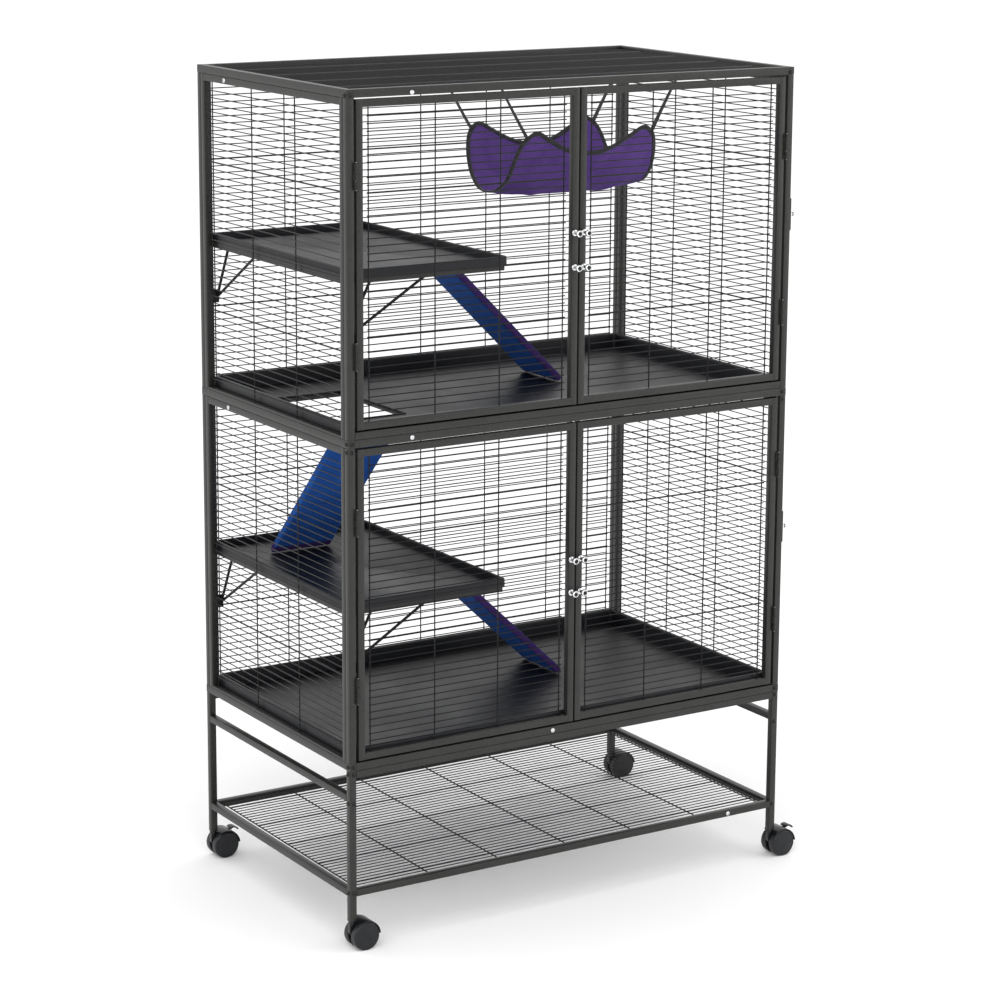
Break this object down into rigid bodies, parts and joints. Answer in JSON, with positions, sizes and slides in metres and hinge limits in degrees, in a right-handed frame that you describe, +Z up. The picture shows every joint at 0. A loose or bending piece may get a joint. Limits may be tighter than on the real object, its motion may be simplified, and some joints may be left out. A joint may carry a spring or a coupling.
{
  "type": "ferret cage",
  "caption": "Tall tiered wire cage for ferrets on a wheeled stand, with double front doors, side platforms, ramps, litter trays, a hammock and a storage shelf.",
  "frame": {"origin": "on the floor under the middle of the bounding box", "axes": "+Z up, the doors face -Y, +X to the right as seen from the front"},
  "size_m": [0.9568, 0.5772, 1.4845],
  "materials": {
    "frame_paint": "dark charcoal hammered enamel, low sheen",
    "knob_chrome": "bright polished chrome",
    "tray_plastic": "near-black moulded plastic with a grey sheen",
    "caster_plastic": "black, satin to gloss",
    "ramp_cloth": "blue fleece sleeve with a purple side band",
    "hammock_cloth": "purple fleece with black binding",
    "strap_webbing": "black woven webbing"
  },
  "bodies": {
    "cage": {"stand_leg_front_left": "frame_paint", "stand_leg_front_right": "frame_paint", "stand_leg_back_left": "frame_paint", "stand_leg_back_right": "frame_paint", "stand_front_rail": "frame_paint", "stand_back_rail": "frame_paint", "stand_left_rail": "frame_paint", "stand_right_rail": "frame_paint", "storage_shelf": "frame_paint", "lower_floor_frame": "frame_paint", "upper_floor_frame": "frame_paint", "roof_frame": "frame_paint", "lower_left_panel": "frame_paint", "lower_right_panel": "frame_paint", "lower_back_panel": "frame_paint", "lower_front_left_post": "frame_paint", "lower_front_right_post": "frame_paint", "upper_left_panel": "frame_paint", "upper_right_panel": "frame_paint", "upper_back_panel": "frame_paint", "upper_front_left_post": "frame_paint", "upper_front_right_post": "frame_paint", "upper_front_sill": "frame_paint", "lower_tray": "tray_plastic", "upper_tray": "tray_plastic", "lower_platform_pan": "tray_plastic", "lower_platform_carrier": "frame_paint", "upper_platform_pan": "tray_plastic", "upper_platform_carrier": "frame_paint", "hammock": "hammock_cloth", "hammock_strap_front_left": "strap_webbing", "hammock_strap_back_left": "strap_webbing", "hammock_strap_front_right": "strap_webbing", "hammock_strap_back_right": "strap_webbing"},
    "lower_left_door": {"lower_left_door": "frame_paint", "lower_keeper_knob_upper": "knob_chrome", "lower_keeper_knob_lower": "knob_chrome"},
    "lower_right_door": {"lower_right_door": "frame_paint"},
    "lower_turn_latch_upper": {"lower_turn_latch_upper": "knob_chrome"},
    "lower_turn_latch_lower": {"lower_turn_latch_lower": "knob_chrome"},
    "upper_left_door": {"upper_left_door": "frame_paint", "upper_keeper_knob_upper": "knob_chrome", "upper_keeper_knob_lower": "knob_chrome"},
    "upper_right_door": {"upper_right_door": "frame_paint"},
    "upper_turn_latch_upper": {"upper_turn_latch_upper": "knob_chrome"},
    "upper_turn_latch_lower": {"upper_turn_latch_lower": "knob_chrome"},
    "upper_ramp": {"upper_ramp": "ramp_cloth"},
    "lower_ramp": {"lower_ramp": "ramp_cloth"},
    "middle_ramp": {"middle_ramp": "ramp_cloth"},
    "caster_front_left": {"caster_body_front_left": "caster_plastic"},
    "wheels_front_left": {"caster_wheels_front_left": "caster_plastic"},
    "caster_front_right": {"caster_body_front_right": "caster_plastic"},
    "wheels_front_right": {"caster_wheels_front_right": "caster_plastic"},
    "caster_back_left": {"caster_body_back_left": "caster_plastic"},
    "wheels_back_left": {"caster_wheels_back_left": "caster_plastic"},
    "caster_back_right": {"caster_body_back_right": "caster_plastic"},
    "wheels_back_right": {"caster_wheels_back_right": "caster_plastic"},
    "brake_lever_front_right": {"brake_lever_front_right": "caster_plastic"},
    "brake_lever_back_left": {"brake_lever_back_left": "caster_plastic"}
  },
  "joints": [
    {"name": "lower_left_door_hinge", "type": "hinge", "parent": "cage", "child": "lower_left_door", "pos_m": [-0.46322, -0.27382, 0.61162], "axis": [0, 0, -1], "range_deg": [0, 165]},
    {"name": "lower_right_door_hinge", "type": "hinge", "parent": "cage", "child": "lower_right_door", "pos_m": [0.42037, -0.27382, 0.61162], "axis": [0, 0, 1], "range_deg": [0, 165]},
    {"name": "lower_upper_latch_turn", "type": "hinge", "parent": "lower_right_door", "child": "lower_turn_latch_upper", "pos_m": [-0.01183, -0.27063, 0.63812], "axis": [0, 1, 0], "range_deg": [0, 90]},
    {"name": "lower_lower_latch_turn", "type": "hinge", "parent": "lower_right_door", "child": "lower_turn_latch_lower", "pos_m": [-0.01183, -0.27063, 0.57812], "axis": [0, 1, 0], "range_deg": [0, 90]},
    {"name": "upper_left_door_hinge", "type": "hinge", "parent": "cage", "child": "upper_left_door", "pos_m": [-0.46322, -0.27382, 1.19197], "axis": [0, 0, -1], "range_deg": [0, 165]},
    {"name": "upper_right_door_hinge", "type": "hinge", "parent": "cage", "child": "upper_right_door", "pos_m": [0.42037, -0.27382, 1.19197], "axis": [0, 0, 1], "range_deg": [0, 165]},
    {"name": "upper_upper_latch_turn", "type": "hinge", "parent": "upper_right_door", "child": "upper_turn_latch_upper", "pos_m": [-0.01183, -0.27063, 1.21847], "axis": [0, 1, 0], "range_deg": [0, 90]},
    {"name": "upper_lower_latch_turn", "type": "hinge", "parent": "upper_right_door", "child": "upper_turn_latch_lower", "pos_m": [-0.01183, -0.27063, 1.15847], "axis": [0, 1, 0], "range_deg": [0, 90]},
    {"name": "upper_ramp_lift", "type": "hinge", "parent": "cage", "child": "upper_ramp", "pos_m": [-0.14072, 0.06938, 1.16212], "axis": [0, -1, 0], "range_deg": [0, 40]},
    {"name": "lower_ramp_lift", "type": "hinge", "parent": "cage", "child": "lower_ramp", "pos_m": [-0.14072, 0.06938, 0.59252], "axis": [0, -1, 0], "range_deg": [0, 40]},
    {"name": "middle_ramp_lift", "type": "hinge", "parent": "cage", "child": "middle_ramp", "pos_m": [-0.33568, -0.08862, 0.87642], "axis": [1, 0, 0], "range_deg": [0, 23]},
    {"name": "caster_front_left_swivel", "type": "hinge", "parent": "cage", "child": "caster_front_left", "pos_m": [-0.47208, -0.26427, -0.00048], "axis": [0, 0, 1], "continuous": true},
    {"name": "caster_front_right_swivel", "type": "hinge", "parent": "cage", "child": "caster_front_right", "pos_m": [0.42923, -0.26427, -0.00048], "axis": [0, 0, 1], "continuous": true},
    {"name": "caster_back_left_swivel", "type": "hinge", "parent": "cage", "child": "caster_back_left", "pos_m": [-0.47208, 0.26903, -0.00048], "axis": [0, 0, 1], "continuous": true},
    {"name": "caster_back_right_swivel", "type": "hinge", "parent": "cage", "child": "caster_back_right", "pos_m": [0.42923, 0.26903, -0.00048], "axis": [0, 0, 1], "continuous": true},
    {"name": "wheels_front_left_roll", "type": "hinge", "parent": "caster_front_left", "child": "wheels_front_left", "pos_m": [-0.45308, -0.26427, 0.02452], "axis": [0, 1, 0], "continuous": true},
    {"name": "wheels_front_right_roll", "type": "hinge", "parent": "caster_front_right", "child": "wheels_front_right", "pos_m": [0.44822, -0.26427, 0.02452], "axis": [0, 1, 0], "continuous": true},
    {"name": "wheels_back_left_roll", "type": "hinge", "parent": "caster_back_left", "child": "wheels_back_left", "pos_m": [-0.45308, 0.26903, 0.02452], "axis": [0, 1, 0], "continuous": true},
    {"name": "wheels_back_right_roll", "type": "hinge", "parent": "caster_back_right", "child": "wheels_back_right", "pos_m": [0.44822, 0.26903, 0.02452], "axis": [0, 1, 0], "continuous": true},
    {"name": "brake_lever_front_right_press", "type": "hinge", "parent": "caster_front_right", "child": "brake_lever_front_right", "pos_m": [0.46435, -0.26427, 0.05135], "axis": [0, 1, 0], "range_deg": [0, 20]},
    {"name": "brake_lever_back_left_press", "type": "hinge", "parent": "caster_back_left", "child": "brake_lever_back_left", "pos_m": [-0.43695, 0.26903, 0.05135], "axis": [0, 1, 0], "range_deg": [0, 20]}
  ]
}
